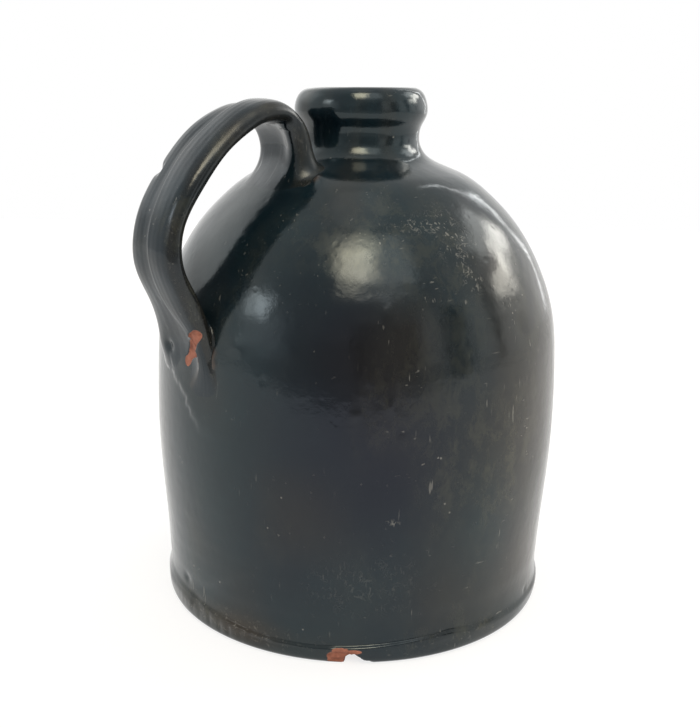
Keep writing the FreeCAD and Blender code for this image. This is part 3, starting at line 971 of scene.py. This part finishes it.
def flare(contact_at, away, climb, spread_out):
    """The clay smoothed out where the strap meets the wall: each column leaves the
    strap climb mm from the contact and lands on the wall spread_out mm beyond it,
    by a cubic Bezier that is tangent to the strap and to the wall at its ends."""
    contact = strap(contact_at[None])[0]
    start = strap((contact_at + away * climb / speed)[None])[0]
    before = strap((contact_at + away * (climb + 0.2) / speed)[None])[0]
    along = (start - before) / np.linalg.norm(start - before, axis=1)[:, None]
    _, normal = onto_wall(contact, np.zeros(columns))
    tangent = np.roll(contact, -1, axis=0) - np.roll(contact, 1, axis=0)
    out = np.cross(tangent, normal)
    out = out / np.linalg.norm(out, axis=1)[:, None]
    out = out * np.sign(np.sum(out * (contact - contact.mean(axis=0)), axis=1).sum())
    out = around(around(out, 6), 6)
    out = out - normal * np.sum(out * normal, axis=1)[:, None]
    out = out / np.linalg.norm(out, axis=1)[:, None]
    end, facing_out = onto_wall(contact + spread_out[:, None] * out, np.full(columns, PROUD))
    buried, _ = onto_wall(contact + (spread_out[:, None] + BURIED_ON) * out, np.full(columns, BURIED))
    back = contact - end
    back = back - facing_out * np.sum(back * facing_out, axis=1)[:, None]
    first = start + FLARE_PULL * along * np.linalg.norm(contact - start, axis=1)[:, None]
    second = end + FLARE_PULL * back
    share = np.linspace(0.0, 1.0, FLARE_ROWS)[:, None, None]
    curve = start * (1.0 - share) ** 3 + first * 3.0 * share * (1.0 - share) ** 2
    curve = curve + second * 3.0 * share ** 2 * (1.0 - share) + end * share ** 3
    return np.concatenate([curve, buried[None]])


under_side = np.clip(-side_at[:, 1] / UNDER, 0.0, 1.0) ** 2
outer_side = np.clip(side_at[:, 1] / RIDGE * 2.0, 0.0, 1.0)
root_climb = around(4.5 + 7.5 * under_side, 10)
root_spread = around(3.6 + 8.0 * under_side, 10)
root_flare = flare(root_at, 1.0, root_climb, root_spread)
foot_climb = around(2.0 + 4.0 * outer_side, 6)
foot_spread = around(1.6 + 7.0 * outer_side, 6)
foot_flare = flare(foot_at, -1.0, foot_climb, foot_spread)
start_at = root_at + root_climb / speed
end_at = foot_at - foot_climb / speed
share = np.linspace(0.0, 1.0, HANDLE_ROWS)[:, None]
run = strap(start_at + (end_at - start_at) * share)
grid = np.concatenate([root_flare[::-1], run[1:-1], foot_flare])


def smoothed(points, share, times):
    """Points drawn to the mean of their two neighbours round the strap, times over:
    each time they go half of the way, multiplied by share, which is 0 to 1."""
    for _ in range(times):
        soft = 0.5 * points + 0.25 * (np.roll(points, 1, axis=1) + np.roll(points, -1, axis=1))
        points = points + (soft - points) * share[..., None]
    return points


# the sharp ridge, where the columns begin and end, is worn round
from_ridge = (np.arange(columns) + columns / 2 - 0.5) % columns - columns / 2 + 0.5
near_ridge = np.exp(-from_ridge ** 2 / 6.0)[None]
grid = smoothed(grid, near_ridge, 3)
# near the neck the lower edge of the strap is smoothed right round into its underside
way = np.linspace(0.0, 1.0, len(grid))[:, None]
corner = np.exp(-((side_at[:, 0] - HALF + 0.3) / 2.6) ** 2 - ((side_at[:, 1] + UNDER - 1.2) / 3.0) ** 2)
corner = corner[None] * np.clip((0.42 - way) / 0.2, 0.0, 1.0) * np.clip(way / 0.02, 0.0, 1.0)
grid = smoothed(grid, corner, 90)
# clay pressed in below the near end makes the strap thicker there
thick = np.exp(-((side_at[:, 0] - HALF + 3.0) / 5.0) ** 2) * np.clip(0.25 - side_at[:, 1] / UNDER, 0.0, 1.0)
thick = around(thick, 5)[None] * np.clip((0.17 - way) / 0.10, 0.0, 1.0)
thick = thick * np.clip((way - 0.015) / 0.05, 0.0, 1.0)
under_middle = np.argmin(np.abs(side_at[:, 0]) + (side_at[:, 1] > 0.0) * 99.0)
inward = grid[:, under_middle] - grid[:, columns - 1]
inward = inward / np.linalg.norm(inward, axis=1)[:, None]
grid = grid + THICKER * thick[..., None] * inward[:, None]
# the near top edge is worn rounder than the far one
worn_edge = np.exp(-((side_at[:, 0] - HALF + 0.4) / 2.6) ** 2 - ((side_at[:, 1] - 0.8) / 2.0) ** 2)[None]
grid = smoothed(grid, worn_edge, 40)
length_way = np.gradient(grid, axis=0)
round_way = np.roll(grid, -1, axis=1) - np.roll(grid, 1, axis=1)
normal = np.cross(round_way, length_way)
normal = normal / np.maximum(np.linalg.norm(normal, axis=-1, keepdims=True), 1e-9)
# streaks from pulling the clay, slow waves, the thumb's press, the broken ridge and a nick
free = np.clip(way / 0.06, 0.0, 1.0) * np.clip((1.0 - way) / 0.05, 0.0, 1.0)
across = np.broadcast_to(side_at[None, :, 0], grid.shape[:2])
pulls = 0.012 * np.sin(across * 2.6 + 1.5 * np.sin(way * 9.0))
pulls = pulls + 0.012 * np.sin(across * 1.3 + 2.0 * np.sin(way * 5.0 + 1.0))
pulls = pulls * np.clip(side_at[None, :, 1] / 2.0 + 1.0, 0.0, 1.0)
slow = 0.14 * np.sin(way * 23.0 + across * 0.12) + 0.10 * np.sin(way * 41.0 - across * 0.2 + 1.0)
dented = 0.15 * (0.5 + 0.5 * np.sin(way * 71.0 + 2.0 * np.sin(way * 19.0))) * worn_edge
turn_handle = np.arctan2(grid[..., 1], grid[..., 0])
height_handle = grid[..., 2]
low = np.clip((0.985 - way) / 0.01, 0.0, 1.0)
press = dab(turn_handle, height_handle, 173.4, 104.2, 2.0, 2.2, 0.0, STRAP_ARM) * low
press_rim = dab(turn_handle, height_handle, 170.5, 102.5, 6.0, 7.0, 0.0, STRAP_ARM) * low
broken = torn(turn_handle, height_handle) * (side_at[None, :, 1] > -1.0)
knock = np.clip((broken - 0.5) * 4.0, 0.0, 1.0)
nick = dab(turn_handle, height_handle, 171.5, 165.2, 9.0, 1.7, 0.0, STRAP_ARM)
nick = nick * np.clip((-8.5 - across) / 2.0, 0.0, 1.0)
lift = (pulls + slow - 0.15 - dented) * free - THUMBED * press + THUMB_RIM * press_rim - BROKEN_OFF * knock
lift = lift * np.minimum(free * 4.0, 1.0) - NICKED * nick
grid = grid + normal * lift[..., None]
handle = shell("jug_handle", grid, first=tuple(grid[0].mean(axis=0)), last=tuple(grid[-1].mean(axis=0)))
handle.data.materials.append(glaze)
# the glaze is thin on the ridge and the near edge; the groove beside the ridge is painted darker, as painted
# shade
near_edge = np.exp(-((side_at[:, 0] - HALF + 0.5) / 2.0) ** 2) * (side_at[:, 1] > -UNDER * 0.9)
near_edge = near_edge[None]
# painted shade: the groove beside the ridge, dimmed through the plain glaze and its bluer sheen
groove = np.exp(-((np.arange(columns) - 9.0) / 5.0) ** 2)[None] * (way < 0.9)
far_line = np.exp(-((across + 11.0) / 1.6) ** 2)
flank = (side_at[:, 0] > HALF - 5.0) * np.clip(1.0 - np.abs(side_at[:, 1]) / (UNDER + 1.0), 0.0, 1.0)
dull = 0.9 * near_edge * np.exp(-((way - 0.32) / 0.17) ** 4)
dull = dull + 0.75 * flank[None] * np.clip((0.16 - way) / 0.05, 0.0, 1.0)
warm = 0.35 * near_edge + 0.5 * near_ridge + 0.2 * wobble(way * 6.0, across, 5, 14, 2, 12, 4.0)
mark(handle, "warm", warm)
mark(handle, "bare", broken)
mark(handle, "haze", 0.2 + 0.3 * near_edge + 0.3 * wobble(way * 6.0, across, 6, 14, 2, 12, 4.0))
mark(handle, "dull", dull)
# the groove's extra share of plain glaze is painted shade
mark(handle, "plain", 0.35 + 0.65 * groove)
mark(handle, "crumbs", 0.22 * near_edge + 0.3 * far_line)
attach(handle, "root")
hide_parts("jug")
